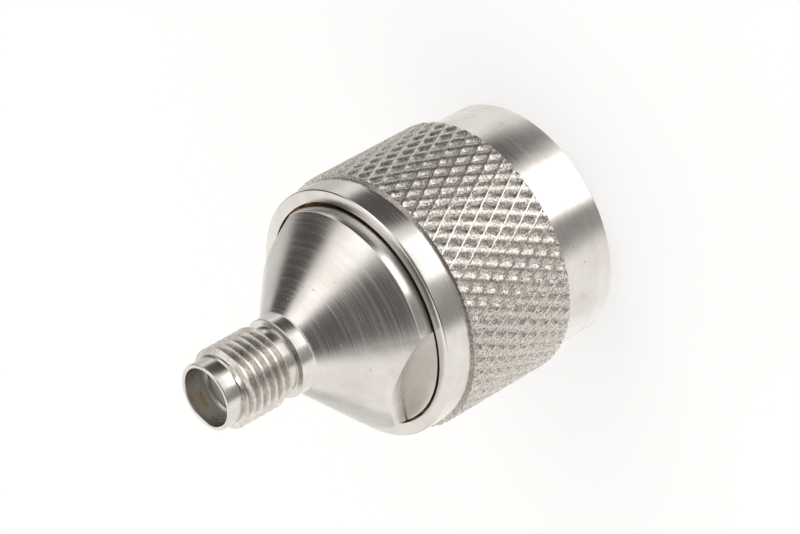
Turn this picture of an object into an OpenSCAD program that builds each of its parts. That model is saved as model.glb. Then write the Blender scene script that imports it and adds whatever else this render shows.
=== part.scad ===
// Coaxial adapter, SMA jack to type N plug, in stainless steel.
//
// The part stands on the flat end of its coupling nut: z = 0 is that end, +Z runs
// along the axis and the SMA jack is on top. All sizes are in millimetres.
// The feature that takes the most skill is the diamond knurl of the coupling nut.

/* [Coupling nut] */
// Length of the nut, end to end
nut_len = 17.4; // [16.4:0.1:20]
// Step from the ridges of the knurl down to the plain band at the mating end
nut_band_step = 0.6; // [0.35:0.05:0.8]
// Length of the plain band at the mating end
nut_band_len = 5.1; // [3:0.1:5.6]
// Wall of the plain collar behind the knurl, round the ring's groove
nut_collar_wall = 0.55; // [0.4:0.05:0.9]
// Depth of the bore behind the thread that takes the body's flange
nut_rear_bore_len = 4.5; // [3.9:0.1:5.2]
// Bevel round the outer edge of the rear lip
nut_lip_bevel = 0.2; // [0.05:0.05:0.3]
// Bevel round the outer edge of the mating end
nut_end_bevel = 0.15; // [0.05:0.05:0.4]

/* [Knurl] */
// Rise of the ridges above the plain collar
knurl_rise = 0.35; // [0.3:0.05:0.6]
// Length of the knurled band
knurl_len = 10; // [6:0.1:10.8]
// Ridges of each hand round the nut
knurl_count = 54; // [30:1:64]
// Rows of half diamonds along the band
knurl_rows = 9; // [5:1:11]
// Depth of the sunk diamonds below the ridges
knurl_depth = 0.3; // [0.1:0.01:0.34]
// Share of each diamond that is its flat floor
knurl_floor = 0.12; // [0.1:0.01:0.8]
// Wall between the rear bore and the knurled sleeve's root
knurl_root_wall = 0.3; // [0.1:0.05:0.4]

/* [Coupling thread] */
// Minor diameter of the 5/8-24 UNEF thread
n_thread_minor_d = 14.74; // [14.6:0.02:15.2]
// Major diameter of the 5/8-24 UNEF thread
n_thread_major_d = 15.88; // [15.6:0.02:16.4]
// Length of the threaded bore
n_thread_len = 7.2; // [5:0.1:8]
// Distance from the nut's end to the first full thread
n_thread_inset = 0.8; // [0.6:0.1:1.4]
// Depth of the relief behind the thread, beyond its major radius
n_relief_step = 0.16; // [0.05:0.01:0.4]

/* [Adapter body] */
// Diameter of the flange that the nut turns on
flange_d = 17.7; // [17.2:0.1:18]
// Length of the flange
flange_len = 5.4; // [4.8:0.1:7]
// Diameter of the nose in front of the flange
nose_d = 14; // [12.4:0.1:15]
// Length of the nose in front of the flange
nose_len = 1.6; // [0.6:0.1:2.4]
// Slope of the cone from the axis, in degrees
cone_angle = 45; // [35:1:55]
// Distance across the two wrench flats
flats_w = 14.6; // [13:0.1:16.4]
// Length of the plain collar at the small end of the cone
collar_len = 1.2; // [0.6:0.1:3]
// Small bevels on the body's outer edges
edge_bevel = 0.12; // [0.05:0.01:0.3]

/* [SMA jack] */
// Major diameter of the 1/4-36 UNS thread, also the collar's
sma_thread_d = 6.35; // [6.2:0.01:6.5]
// Length of the threaded barrel, chamfers included
sma_thread_len = 4.3; // [3:0.1:6]
// Chamfer at each end of the thread, along the axis
sma_thread_chamfer = 0.27; // [0.1:0.01:0.6]
// Pitch of the 1/4-36 thread, drawn as plain rings
sma_thread_pitch = 0.7056; // [0.6:0.0001:0.8]
// Width of each ring's crest
sma_crest_w = 0.22; // [0.18:0.01:0.3]
// Depth of the grooves between the rings
sma_thread_depth = 0.38; // [0.2:0.01:0.4]
// Diameter of the relief between thread and collar
sma_neck_d = 5.2; // [4.9:0.1:5.8]
// Length of the relief between thread and collar
sma_neck_len = 1; // [0.6:0.1:2]
// Diameter of the pilot in front of the thread
sma_pilot_d = 5.3; // [5.1:0.05:5.5]
// Length of the pilot in front of the thread
sma_pilot_len = 1.4; // [0.8:0.1:2]
// Bore that takes the plug
sma_bore_d = 4.64; // [4.5:0.01:4.7]
// Depth of the reference plane below the jack's end
sma_ref_depth = 1.93; // [1.88:0.01:1.98]
// Bevel round each edge of the jack's rim
sma_rim_bevel = 0.12; // [0.05:0.01:0.18]

/* [Retaining ring] */
// Thickness of the ring along the axis
ring_t = 0.8; // [0.5:0.05:1]
// Reach of the ring into the body's groove, below the flange
ring_bite = 0.65; // [0.4:0.05:1]
// Reach of the ring into the nut's groove, beyond the flange
ring_reach = 0.65; // [0.45:0.05:0.7]
// Width of the ring's gap
ring_gap = 2.5; // [1:0.1:6]
// Thickness of the nut's lip behind the groove
lip_len = 1.1; // [0.6:0.1:1.6]

/* [Face gasket] */
// Thickness of the gasket
gasket_t = 1.5; // [0.8:0.1:1.8]
// Outer diameter of the gasket
gasket_d = 13.6; // [11:0.1:13.8]

/* [N contacts] */
// Outer diameter of the outer contact
sleeve_d = 8.03; // [7.9:0.01:8.1]
// Bore of the outer contact
sleeve_bore_d = 7; // [6.8:0.01:7.1]
// Step of the outer contact's root, which the gasket sits on
sleeve_root_step = 0.3; // [0.2:0.05:0.4]
// Distance of the outer contact's end from the nut's end
sleeve_inset = 1.2; // [0.6:0.1:2]
// Bevel round the outer contact's end
sleeve_bevel = 0.2; // [0.05:0.05:0.25]
// Diameter of the outer contact where it is seated in the body
sleeve_seat_d = 9.2; // [8.9:0.1:10]
// Depth of that seat in the body
sleeve_seat_len = 4.4; // [3.4:0.1:5]
// Diameter of the pin's tip
pin_tip_d = 1.65; // [1.6:0.01:1.68]
// Distance of the pin's tip behind the outer contact's end
pin_tip_inset = 0.9; // [0.4:0.1:1.5]
// Length of the pin's rounded point
pin_point_len = 0.8; // [0.3:0.1:1.2]
// Distance of the pin's shoulder behind the outer contact's end
pin_shoulder_inset = 5.3; // [5.28:0.01:5.36]
// Diameter of the pin behind its shoulder
pin_d = 3.04; // [2.9:0.01:3.2]
// Diameter of the pin where the bead sits on it
pin_rear_d = 2.4; // [2:0.1:2.8]
// Space between the pin's rear end and the floor of the seat
pin_rear_gap = 1; // [0.5:0.1:2]

/* [Bead] */
// Thickness of the bead that carries the pin
bead_t = 2; // [1:0.1:2.4]
// Diameter of the bead, well inside the outer contact's
bead_d = 7.6; // [7.4:0.1:7.7]

/* [SMA contacts] */
// Outer diameter of the socket contact
socket_d = 1.27; // [1.2:0.01:1.35]
// Bore of the socket contact
socket_bore_d = 0.94; // [0.9:0.01:1]
// Depth of the socket contact's bore
socket_bore_len = 3; // [2.6:0.1:5]
// Width of the slots in the socket contact
socket_slot_w = 0.2; // [0.1:0.01:0.3]
// Length of the slots in the socket contact
socket_slot_len = 2.5; // [1.5:0.1:2.6]
// Distance of the socket contact's end behind the reference plane
socket_inset = 0.1; // [0:0.01:0.25]
// Diameter of the socket contact's tail in the pin
socket_tail_d = 0.96; // [0.7:0.01:1.1]
// Length of the socket contact's tail in the pin
socket_tail_len = 1.5; // [0.8:0.1:2.5]
// Diameter of the dielectric round the socket contact
dielectric_d = 4.1; // [3.9:0.01:4.2]
// Distance of the dielectric's end behind the reference plane
dielectric_inset = 0.15; // [0:0.01:0.3]

/* [Clearances] */
// Radial gap between the flange and the nut
flange_clear = 0.2; // [0.1:0.01:0.3]
// Gap along the axis between the flange and the nut's shoulder
shoulder_clear = 0.3; // [0.1:0.05:0.5]
// Gap on each side of the ring in its grooves, along the axis
ring_side_clear = 0.15; // [0.05:0.01:0.25]
// Gap behind the ring, down to the floor of the body's groove
ring_floor_clear = 0.25; // [0.2:0.01:0.4]
// Radial gap round the ring in the nut's groove
ring_rim_clear = 0.05; // [0.02:0.01:0.1]
// Radial gap of pieces that are seated in one another
seat_clear = 0.02; // [0.01:0.01:0.05]
// Radial gap between the gasket and the outer contact's root
gasket_clear = 0.08; // [0.05:0.01:0.2]

/* [Hidden] */
$fn = 96;
// Overcut of a cut beyond the face that it opens
over = 1;

// Heights along the nut
knurl_z = nut_band_len;
collar_z = knurl_z + knurl_len;
n_thread_end_z = n_thread_inset + n_thread_len;
n_thread_entry = (n_thread_major_d - n_thread_minor_d) / 2 + n_relief_step;
nut_shoulder_z = nut_len - nut_rear_bore_len;
nut_groove_top_z = nut_len - lip_len;
nut_groove_z = nut_groove_top_z - ring_t - 2 * ring_side_clear;
ring_z = nut_groove_z;

// Radii of the nut
n_minor_r = n_thread_minor_d / 2;
n_relief_r = n_thread_major_d / 2 + n_relief_step;
nut_rear_r = flange_d / 2 + flange_clear;
nut_groove_r = flange_d / 2 + ring_reach + ring_rim_clear;
nut_collar_r = nut_groove_r + nut_collar_wall;
ridge_r = nut_collar_r + knurl_rise;
nut_band_r = ridge_r - nut_band_step;

// Radii of the ring and its grooves
ring_in_r = flange_d / 2 - ring_bite;
ring_out_r = flange_d / 2 + ring_reach;
body_groove_r = ring_in_r - ring_floor_clear;

// Heights along the body
flange_z = nut_shoulder_z + shoulder_clear;
face_z = flange_z - nose_len;
body_groove_z = ring_z - ring_side_clear;
body_groove_top_z = ring_z + ring_t + ring_side_clear;
cone_z = flange_z + flange_len;
cone_len = (flange_d - sma_thread_d) / 2 / tan(cone_angle);
collar_end_z = cone_z + cone_len + collar_len;
thread_z = collar_end_z + sma_neck_len;
thread_end_z = thread_z + sma_thread_len;
top_z = thread_end_z + sma_pilot_len;
ref_z = top_z - sma_ref_depth;
seat_floor_z = face_z + sleeve_seat_len;
sleeve_root_r = sleeve_d / 2 + sleeve_root_step;

// Radii of the body
flange_r = flange_d / 2;
thread_r = sma_thread_d / 2;
seat_r = sleeve_seat_d / 2 + seat_clear;
dielectric_bore_r = dielectric_d / 2 + seat_clear;

// Heights and radii of the inner pieces
bead_r = bead_d / 2;
bead_seat_r = bead_r + seat_clear;
retainer_len = sleeve_seat_len;
bead_z = seat_floor_z - retainer_len - bead_t;
pin_shoulder_z = sleeve_inset + pin_shoulder_inset;
pin_tip_z = sleeve_inset + pin_tip_inset;
pin_end_z = seat_floor_z - pin_rear_gap;

// A turned solid from its half section, as [radius, height] points
module turned(section) rotate_extrude() polygon(section);

// The rings of the SMA thread between its chamfers, as [radius, height] points
function thread_rings() =
    let (
        room = sma_thread_len - 2 * sma_thread_chamfer - sma_crest_w,
        grooves = max(1, floor(room / sma_thread_pitch)),
        first_z = (thread_z + thread_end_z - sma_crest_w - grooves * sma_thread_pitch) / 2,
        root_r = thread_r - sma_thread_depth,
        flank_w = sma_thread_depth * tan(30)
    ) [
        [thread_r, first_z],
        for (i = [0:grooves - 1])
            let (z = first_z + i * sma_thread_pitch + sma_crest_w,
                 next_z = first_z + (i + 1) * sma_thread_pitch)
                each [
                    [thread_r, z], [root_r, z + flank_w], [root_r, next_z - flank_w],
                    [thread_r, next_z],
                ],
        [thread_r, first_z + grooves * sma_thread_pitch + sma_crest_w],
    ];

// A plain round hole along the axis, from z0 up to z1
module hole(r, z0, z1) translate([0, 0, z0]) cylinder(r = r, h = z1 - z0);

// Angle of ridge crossing i in row k: odd rows are turned by half a pitch
function crossing_a(i, k) = (i + (k % 2) / 2) * 360 / knurl_count;
function on_nut(r, a, z) = [r * cos(a), r * sin(a), z];

// The knurled band: ridges of both hands cross at the corners of sunk diamonds.
// Row k holds the crossings at its height and, half a pitch on, the diamonds' centres.
// It is a sleeve, rooted in the nut outside the rear bore.
module knurled_band() {
    row_h = knurl_len / knurl_rows;
    half_a = 180 / knurl_count;
    floor_r = ridge_r - knurl_depth;
    root_r = nut_rear_r + knurl_root_wall;
    // Each place of a row has five points: a crossing, then the floor's four corners
    surface = [
        for (k = [0:knurl_rows], i = [0:knurl_count - 1])
            let (a = crossing_a(i, k), mid = a + half_a, z = knurl_z + k * row_h)
                each [
                    on_nut(ridge_r, a, z),
                    on_nut(floor_r, mid - knurl_floor * half_a, z),
                    on_nut(floor_r, mid + knurl_floor * half_a, z),
                    on_nut(floor_r, mid, z + knurl_floor * row_h),
                    on_nut(floor_r, mid, z - knurl_floor * row_h),
                ],
    ];
    roots = [
        for (k = [0, knurl_rows], i = [0:knurl_count - 1])
            on_nut(root_r, crossing_a(i, k), knurl_z + k * row_h),
    ];
    function at(i, k, part) = 5 * (k * knurl_count + i % knurl_count) + part;
    // The crossing over or under diamond i of row k lies in the row beside it
    function beside(i, k, dk) = at(i + k % 2, k + dk, 0);
    function root(i, end) = len(surface) + end * knurl_count + i % knurl_count;
    upper = [
        for (k = [0:knurl_rows - 1], i = [0:knurl_count - 1])
            let (l = at(i, k, 0), r = at(i + 1, k, 0), t = beside(i, k, 1),
                 fl = at(i, k, 1), fr = at(i, k, 2), ft = at(i, k, 3))
                each [[l, ft, fl], [l, t, ft], [r, ft, t], [r, fr, ft], [fl, ft, fr]],
    ];
    lower = [
        for (k = [1:knurl_rows], i = [0:knurl_count - 1])
            let (l = at(i, k, 0), r = at(i + 1, k, 0), b = beside(i, k, -1),
                 fl = at(i, k, 1), fr = at(i, k, 2), fb = at(i, k, 4))
                each [[l, fl, fb], [l, fb, b], [r, b, fb], [r, fb, fr], [fl, fr, fb]],
    ];
    bottom = [
        for (i = [0:knurl_count - 1])
            let (p = root(i, 0), q = root(i + 1, 0), l = at(i, 0, 0), r = at(i + 1, 0, 0),
                 fl = at(i, 0, 1), fr = at(i, 0, 2))
                each [[p, l, fl], [p, fl, fr], [p, fr, q], [q, fr, r]],
    ];
    top = [
        for (i = [0:knurl_count - 1])
            let (k = knurl_rows, p = root(i, 1), q = root(i + 1, 1), l = at(i, k, 0),
                 r = at(i + 1, k, 0), fl = at(i, k, 1), fr = at(i, k, 2))
                each [[p, fl, l], [p, fr, fl], [p, q, fr], [q, r, fr]],
    ];
    inside = [
        for (i = [0:knurl_count - 1])
            let (p = root(i, 0), q = root(i + 1, 0), t = root(i, 1), u = root(i + 1, 1))
                each [[q, t, p], [q, u, t]],
    ];
    polyhedron(concat(surface, roots), concat(upper, lower, bottom, top, inside), convexity = 10);
}

// The nut: plain band, knurl and collar outside, coupling thread and rear bore inside
module coupling_nut() {
    knurl_mid_z = knurl_z + knurl_len / 2;
    color("silver") difference() {
        union() {
            turned([
                [0, 0], [nut_band_r - nut_end_bevel, 0], [nut_band_r, nut_end_bevel],
                [nut_band_r, knurl_mid_z], [nut_collar_r, knurl_mid_z],
                [nut_collar_r, nut_len - nut_lip_bevel],
                [nut_collar_r - nut_lip_bevel, nut_len], [0, nut_len],
            ]);
            knurled_band();
        }
        turned([
            [0, -over], [n_relief_r, -over], [n_relief_r, n_thread_inset - n_thread_entry],
            [n_minor_r, n_thread_inset], [n_minor_r, n_thread_end_z],
            [n_relief_r, n_thread_end_z + n_thread_entry], [n_relief_r, nut_shoulder_z],
            [nut_rear_r, nut_shoulder_z], [nut_rear_r, nut_groove_z],
            [nut_groove_r, nut_groove_z], [nut_groove_r, nut_groove_top_z],
            [nut_rear_r, nut_groove_top_z], [nut_rear_r, nut_len + over], [0, nut_len + over],
        ]);
    }
}

// One of the two wrench flats, milled down to a ledge level with the nut's lip
module wrench_flat()
    translate([flats_w / 2, -flange_d, nut_len])
        cube([flange_d, 2 * flange_d, cone_z + cone_len - nut_len]);

// The body: SMA jack, collar, cone, flange with its ring groove, and nose, all in one
module adapter_body() {
    pilot_r = sma_pilot_d / 2;
    bore_r = sma_bore_d / 2;
    neck_r = sma_neck_d / 2;
    nose_r = nose_d / 2;
    color("lightgray") difference() {
        turned(concat([
            [seat_r, face_z], [nose_r - edge_bevel, face_z], [nose_r, face_z + edge_bevel],
            [nose_r, flange_z], [flange_r - edge_bevel, flange_z],
            [flange_r, flange_z + edge_bevel], [flange_r, body_groove_z],
            [body_groove_r, body_groove_z], [body_groove_r, body_groove_top_z],
            [flange_r, body_groove_top_z], [flange_r, cone_z], [thread_r, cone_z + cone_len],
            [thread_r, collar_end_z - edge_bevel], [thread_r - edge_bevel, collar_end_z],
            [neck_r, collar_end_z], [neck_r, thread_z],
        ], thread_rings(), [
            [pilot_r, thread_end_z], [pilot_r, top_z - sma_rim_bevel],
            [pilot_r - sma_rim_bevel, top_z], [bore_r + sma_rim_bevel, top_z],
            [bore_r, top_z - sma_rim_bevel],
            [bore_r, ref_z], [dielectric_bore_r, ref_z], [dielectric_bore_r, seat_floor_z],
            [seat_r, seat_floor_z],
        ]));
        wrench_flat();
        mirror([1, 0, 0]) wrench_flat();
    }
}

// Split spring ring of bronze that keeps the nut on the body
module retaining_ring()
    color("peru") difference() {
        hole(ring_out_r, ring_z, ring_z + ring_t);
        hole(ring_in_r, ring_z - over, ring_z + ring_t + over);
        translate([0, -ring_gap / 2, ring_z - over]) cube([flange_d, ring_gap, ring_t + 2 * over]);
    }

// Rubber gasket against the front of the nose, round the outer contact
module face_gasket()
    color("orangered") difference() {
        hole(gasket_d / 2, face_z - gasket_t, face_z);
        hole(sleeve_root_r + gasket_clear, face_z - gasket_t - over, face_z + over);
    }

// Outer contact of the N side: a sleeve, seated in the body from its front
module outer_contact() {
    sleeve_r = sleeve_d / 2;
    bore_r = sleeve_bore_d / 2;
    color("gainsboro") turned([
        [bore_r, sleeve_inset], [sleeve_r - sleeve_bevel, sleeve_inset],
        [sleeve_r, sleeve_inset + sleeve_bevel], [sleeve_r, face_z - gasket_t],
        [sleeve_root_r, face_z - gasket_t], [sleeve_root_r, face_z],
        [sleeve_seat_d / 2, face_z], [sleeve_seat_d / 2, seat_floor_z],
        [bead_seat_r, seat_floor_z], [bead_seat_r, bead_z], [bore_r, bead_z],
    ]);
}

// Centre pin of the N side, drilled at its rear end for the socket contact's tail
module pin_contact() {
    tip_r = pin_tip_d / 2;
    tail_r = socket_tail_d / 2 + seat_clear;
    tail_z = pin_end_z - socket_tail_len;
    color("gold") turned([
        [0, pin_tip_z], [tip_r / 2, pin_tip_z], [tip_r, pin_tip_z + pin_point_len],
        [tip_r, pin_shoulder_z], [pin_d / 2, pin_shoulder_z], [pin_d / 2, bead_z],
        [pin_rear_d / 2, bead_z], [pin_rear_d / 2, pin_end_z], [tail_r, pin_end_z],
        [tail_r, tail_z], [0, tail_z],
    ]);
}

// Bead that carries the pin in the outer contact
module pin_insulator()
    color("ivory") difference() {
        hole(bead_r, bead_z, bead_z + bead_t);
        hole(pin_rear_d / 2 + seat_clear, bead_z - over, bead_z + bead_t + over);
    }

// Sleeve between the bead and the floor of the seat, which keeps the bead in place
module bead_retainer()
    color("gainsboro") difference() {
        hole(bead_r, bead_z + bead_t, seat_floor_z);
        hole(sleeve_bore_d / 2, bead_z + bead_t - over, seat_floor_z + over);
    }

// Slotted socket of the SMA side, with a tail that is seated in the pin
module socket_contact() {
    end_z = ref_z - socket_inset;
    outer_r = socket_d / 2;
    bore_r = socket_bore_d / 2;
    color("gold") difference() {
        turned([
            [0, pin_end_z - socket_tail_len], [socket_tail_d / 2, pin_end_z - socket_tail_len],
            [socket_tail_d / 2, pin_end_z], [outer_r, pin_end_z], [outer_r, end_z],
            [bore_r, end_z], [bore_r, end_z - socket_bore_len], [0, end_z - socket_bore_len],
        ]);
        for (a = [0, 90]) rotate(a)
            translate([-socket_d, -socket_slot_w / 2, end_z - socket_slot_len])
                cube([2 * socket_d, socket_slot_w, socket_slot_len + over]);
    }
}

// Dielectric of the SMA side, round the socket contact
module socket_insulator()
    color("white") difference() {
        hole(dielectric_d / 2, seat_floor_z, ref_z - dielectric_inset);
        hole(socket_d / 2 + seat_clear, seat_floor_z - over, ref_z + over);
    }

adapter_body();
coupling_nut();
retaining_ring();
face_gasket();
outer_contact();
pin_contact();
pin_insulator();
bead_retainer();
socket_contact();
socket_insulator();
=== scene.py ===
"""Looks of a coaxial adapter in stainless steel: SMA jack at one end, type N plug at the other.

The frame stands on the flat end of its coupling nut, with +Z along the connector's axis and the
SMA jack on top. Sizes are fields in millimetres; heights come from the frame's own nodes.
"""

from __future__ import annotations

import logging
import math
from dataclasses import dataclass, field
from enum import Enum
from typing import Sequence

import bmesh
import bpy
from mathutils import Matrix, Vector

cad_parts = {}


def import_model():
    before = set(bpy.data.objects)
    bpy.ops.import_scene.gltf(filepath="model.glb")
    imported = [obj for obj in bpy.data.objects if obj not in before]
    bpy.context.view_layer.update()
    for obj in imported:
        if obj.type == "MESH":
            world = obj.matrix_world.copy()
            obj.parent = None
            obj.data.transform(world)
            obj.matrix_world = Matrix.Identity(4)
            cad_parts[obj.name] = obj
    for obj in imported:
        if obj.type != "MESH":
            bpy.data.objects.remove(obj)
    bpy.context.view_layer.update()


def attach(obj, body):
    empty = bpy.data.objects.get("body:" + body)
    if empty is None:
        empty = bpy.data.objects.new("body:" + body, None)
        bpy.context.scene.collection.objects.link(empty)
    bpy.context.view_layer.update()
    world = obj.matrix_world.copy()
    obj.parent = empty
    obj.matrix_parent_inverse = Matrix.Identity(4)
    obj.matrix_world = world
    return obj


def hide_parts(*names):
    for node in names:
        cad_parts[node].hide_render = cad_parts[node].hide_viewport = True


LOG = logging.getLogger("adapter")
MM = 0.001
SPIN_STEPS = 192
AXIS = Vector((0.0, 0.0, 1.0))
# Points closer than this become one point, in millimetres
MERGE_MM = 0.0005
# A point this near a plane counts as on it, in metres
ON_PLANE = 1e-8
# Radius at which the length of a lathe mark is given
MARK_RADIUS_MM = 5.0
# A noise lies mostly between these two values
NOISE_LOW, NOISE_HIGH = 0.3, 0.7


class Body(str, Enum):
    """The rigid bodies of the frame."""

    ADAPTER = "adapter"
    NUT = "nut"


class Slot(str, Enum):
    """The record's material slots."""

    BODY = "body_steel"
    NUT = "nut_steel"
    CONTACT = "contact_steel"
    BRONZE = "bronze"
    GOLD = "gold_plate"
    RUBBER = "silicone_rubber"
    BEAD = "bead_plastic"
    PTFE = "ptfe"


# ---------------------------------------------------------------- materials


def linear(hex_code: str) -> tuple[float, float, float, float]:
    """Turns an sRGB hex value into a linear colour.

    Args:
        hex_code: Six hex digits, such as "c8c4bd".

    Returns:
        Red, green, blue and an alpha of 1.
    """
    values = [int(hex_code[i : i + 2], 16) / 255 for i in (0, 2, 4)]
    r, g, b = (v / 12.92 if v <= 0.04045 else ((v + 0.055) / 1.055) ** 2.4 for v in values)
    return r, g, b, 1.0


def add_node(
    tree: bpy.types.NodeTree,
    kind: str,
    settings: dict | None = None,
    values: dict | None = None,
    links: dict | None = None,
) -> bpy.types.Node:
    """Adds one node with its settings, its socket values and the links into it.

    Args:
        tree: The node tree that gets it.
        kind: The node's type, such as "ShaderNodeMath".
        settings: Its properties by name.
        values: Values of its inputs, by name or number.
        links: Output sockets that feed its inputs, by name or number.

    Returns:
        The new node.
    """
    node = tree.nodes.new(kind)
    for name, value in (settings or {}).items():
        setattr(node, name, value)
    for socket, value in (values or {}).items():
        node.inputs[socket].default_value = value
    for socket, source in (links or {}).items():
        tree.links.new(source, node.inputs[socket])
    return node


def new_material(name: str) -> tuple[bpy.types.Material, bpy.types.NodeTree]:
    """Makes an empty node material.

    Args:
        name: The material's name.

    Returns:
        The material and its node tree.
    """
    material = bpy.data.materials.new(name)
    material.use_nodes = True
    material.node_tree.nodes.clear()
    return material, material.node_tree


def turned_place(tree: bpy.types.NodeTree, arc_mm: float, across_mm: float) -> bpy.types.NodeSocket:
    """A coordinate whose noise lies in fine arcs round the axis, as a lathe leaves them.

    Args:
        tree: The material's node tree.
        arc_mm: How far a mark runs round the axis, at MARK_RADIUS_MM from it.
        across_mm: How far it is to the next mark.

    Returns:
        A vector socket: two parts go round the axis, and the third along the section.
    """
    place = add_node(tree, "ShaderNodeTexCoord").outputs["Object"]
    parts = add_node(tree, "ShaderNodeSeparateXYZ", links={0: place})
    flat = add_node(
        tree, "ShaderNodeVectorMath", {"operation": "MULTIPLY"}, {1: (1, 1, 0)}, {0: place}
    )
    radius = add_node(tree, "ShaderNodeVectorMath", {"operation": "LENGTH"}, links={0: flat.outputs[0]})
    round_axis = add_node(
        tree, "ShaderNodeVectorMath", {"operation": "NORMALIZE"}, links={0: flat.outputs[0]}
    )
    stretched = add_node(
        tree,
        "ShaderNodeVectorMath",
        {"operation": "SCALE"},
        {"Scale": MARK_RADIUS_MM / arc_mm},
        {0: round_axis.outputs[0]},
    )
    section = add_node(
        tree,
        "ShaderNodeMath",
        {"operation": "SUBTRACT"},
        links={0: parts.outputs["Z"], 1: radius.outputs["Value"]},
    )
    section = add_node(
        tree,
        "ShaderNodeMath",
        {"operation": "MULTIPLY"},
        {1: 1.0 / (across_mm * MM)},
        {0: section.outputs[0]},
    )
    lift = add_node(tree, "ShaderNodeCombineXYZ", links={"Z": section.outputs[0]})
    total = add_node(
        tree,
        "ShaderNodeVectorMath",
        {"operation": "ADD"},
        links={0: stretched.outputs[0], 1: lift.outputs[0]},
    )
    return total.outputs[0]


def noise_span(low: float, high: float) -> dict[str, float]:
    """The values with which a Map Range node spreads a noise between two limits."""
    return {"From Min": NOISE_LOW, "From Max": NOISE_HIGH, "To Min": low, "To Max": high}


def grained_surface(
    tree: bpy.types.NodeTree,
    finish: GrainedMetal | MattSolid,
    grain: bpy.types.NodeSocket,
    patches: bpy.types.NodeSocket,
    contrast: float,
    values: dict[str, float],
) -> None:
    """Ends a material whose bump and roughness follow one grain.

    Args:
        tree: The material's node tree.
        finish: The finish, for its colours and sizes.
        grain: The grain's noise.
        patches: The noise that mixes its two colours.
        contrast: How far the mix goes past them.
        values: The shader's own values.
    """
    # The patches mix the two colours and may push past them: an uneven tone on most finishes, and painted
    # glints and painted shade on the knurl
    dull = add_node(
        tree,
        "ShaderNodeMapRange",
        values=noise_span(-contrast, 1.0 + contrast),
        links={"Value": patches},
    )
    tone = add_node(
        tree,
        "ShaderNodeMix",
        {"data_type": "RGBA"},
        {6: linear(finish.colour), 7: linear(finish.dull_colour)},
        {0: dull.outputs["Result"]},
    ).outputs[2]
    bump = add_node(
        tree,
        "ShaderNodeBump",
        values={"Strength": 1.0, "Distance": finish.grain_depth_mm * MM},
        links={"Height": grain},
    )
    gloss = add_node(
        tree,
        "ShaderNodeMapRange",
        values=noise_span(finish.roughness - finish.smoother, finish.roughness + finish.rougher),
        links={"Value": grain},
    )
    shader = add_node(
        tree,
        "ShaderNodeBsdfPrincipled",
        values=values,
        links={"Base Color": tone, "Roughness": gloss.outputs["Result"], "Normal": bump.outputs[0]},
    )
    add_node(tree, "ShaderNodeOutputMaterial", links={"Surface": shader.outputs[0]})


@dataclass(frozen=True)
class TurnedSteel:
    """Stainless steel as a lathe leaves it: fine rings, soft streaks and a few pits.

    The rings spread reflections along the section and keep them crisp round the axis. They
    are drawn coarser than a finishing cut's feed of about 0.05 mm, so that they show.
    """

    name: str
    colour: str = "cfccc8"
    dull_colour: str = "bab6b1"
    roughness: float = 0.22
    anisotropy: float = 0.55
    ring_mm: float = 0.14
    ring_depth_mm: float = 0.0022
    arc_mm: float = 9.0
    cloud_mm: float = 4.0
    pit_colour: str = "6e6760"
    pit_mm: float = 0.9
    pit_depth_mm: float = 0.02
    # A pit's floor and rim, in shares of the distance between pits
    pit_floor: float = 0.02
    pit_rim: float = 0.07
    # How far the roughness goes below and above its own value
    smoother: float = 0.05
    rougher: float = 0.08

    def build(self) -> bpy.types.Material:
        """Makes the material.

        Returns:
            The material.
        """
        material, tree = new_material(self.name)
        rings = add_node(
            tree,
            "ShaderNodeTexNoise",
            values={"Scale": 1.0, "Detail": 3.0, "Roughness": 0.65},
            links={"Vector": turned_place(tree, self.arc_mm, self.ring_mm)},
        ).outputs["Fac"]
        place = add_node(tree, "ShaderNodeTexCoord").outputs["Object"]
        cloud = add_node(
            tree,
            "ShaderNodeTexNoise",
            values={"Scale": 1.0 / (self.cloud_mm * MM), "Detail": 4.0, "Roughness": 0.6},
            links={"Vector": place},
        ).outputs["Fac"]
        cells = add_node(
            tree,
            "ShaderNodeTexVoronoi",
            values={"Scale": 1.0 / (self.pit_mm * MM), "Randomness": 1.0},
            links={"Vector": place},
        )
        pit = add_node(
            tree,
            "ShaderNodeMapRange",
            {"interpolation_type": "SMOOTHSTEP"},
            {"From Min": self.pit_floor, "From Max": self.pit_rim, "To Min": 0.0, "To Max": 1.0},
            {"Value": cells.outputs["Distance"]},
        ).outputs["Result"]
        dull = add_node(
            tree, "ShaderNodeMapRange", values=noise_span(0.0, 1.0), links={"Value": cloud}
        )
        tone = add_node(
            tree,
            "ShaderNodeMix",
            {"data_type": "RGBA"},
            {6: linear(self.colour), 7: linear(self.dull_colour)},
            {0: dull.outputs["Result"]},
        ).outputs[2]
        pitted = add_node(
            tree,
            "ShaderNodeMix",
            {"data_type": "RGBA"},
            {6: linear(self.pit_colour)},
            {0: pit, 7: tone},
        ).outputs[2]
        ring_bump = add_node(
            tree,
            "ShaderNodeBump",
            values={"Strength": 1.0, "Distance": self.ring_depth_mm * MM},
            links={"Height": rings},
        )
        bump = add_node(
            tree,
            "ShaderNodeBump",
            values={"Strength": 0.6, "Distance": self.pit_depth_mm * MM},
            links={"Height": pit, "Normal": ring_bump.outputs[0]},
        )
        gloss = add_node(
            tree,
            "ShaderNodeMapRange",
            values=noise_span(self.roughness - self.smoother, self.roughness + self.rougher),
            links={"Value": rings},
        )
        round_axis = add_node(tree, "ShaderNodeTangent", {"direction_type": "RADIAL", "axis": "Z"})
        shader = add_node(
            tree,
            "ShaderNodeBsdfPrincipled",
            values={
                "Metallic": 1.0,
                "Anisotropic": self.anisotropy,
                "Anisotropic Rotation": 0.25,
            },
            links={
                "Base Color": pitted,
                "Roughness": gloss.outputs["Result"],
                "Normal": bump.outputs[0],
                "Tangent": round_axis.outputs[0],
            },
        )
        add_node(tree, "ShaderNodeOutputMaterial", links={"Surface": shader.outputs[0]})
        return material


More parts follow.
